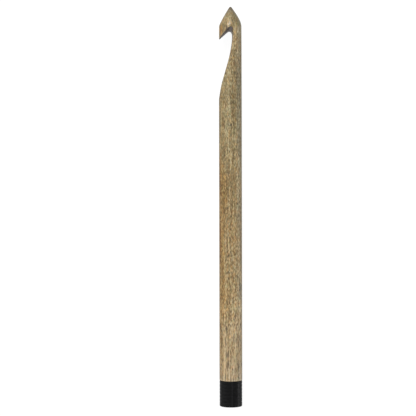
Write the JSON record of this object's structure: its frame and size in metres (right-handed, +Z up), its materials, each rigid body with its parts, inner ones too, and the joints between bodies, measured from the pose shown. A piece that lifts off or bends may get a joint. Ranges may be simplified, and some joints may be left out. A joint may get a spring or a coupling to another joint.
{
  "type": "crochet hook",
  "caption": "Large straight wooden crochet hook with a pointed head, a deep notch with a long ramp, and a black grip-ringed cap on its end.",
  "frame": {"origin": "half-way along the hook, under its axis, on the surface it lies on", "axes": "+Y along the stick towards the pointed tip, -X the side the barb and notch are on, +Z up from the surface the hook lies on"},
  "size_m": [0.02, 0.351, 0.02],
  "materials": {
    "wood": "fine-sanded and lightly oiled, streaky open grain",
    "cap": "satin-gloss black with shallow turned rings"
  },
  "bodies": {
    "shaft": {"hook_shaft": "wood"},
    "cap": {"end_cap": "cap"}
  },
  "joints": [
    {"name": "cap_pull", "type": "slide", "parent": "shaft", "child": "cap", "axis": [0, -1, 0], "range_m": [0, 0.022]}
  ]
}
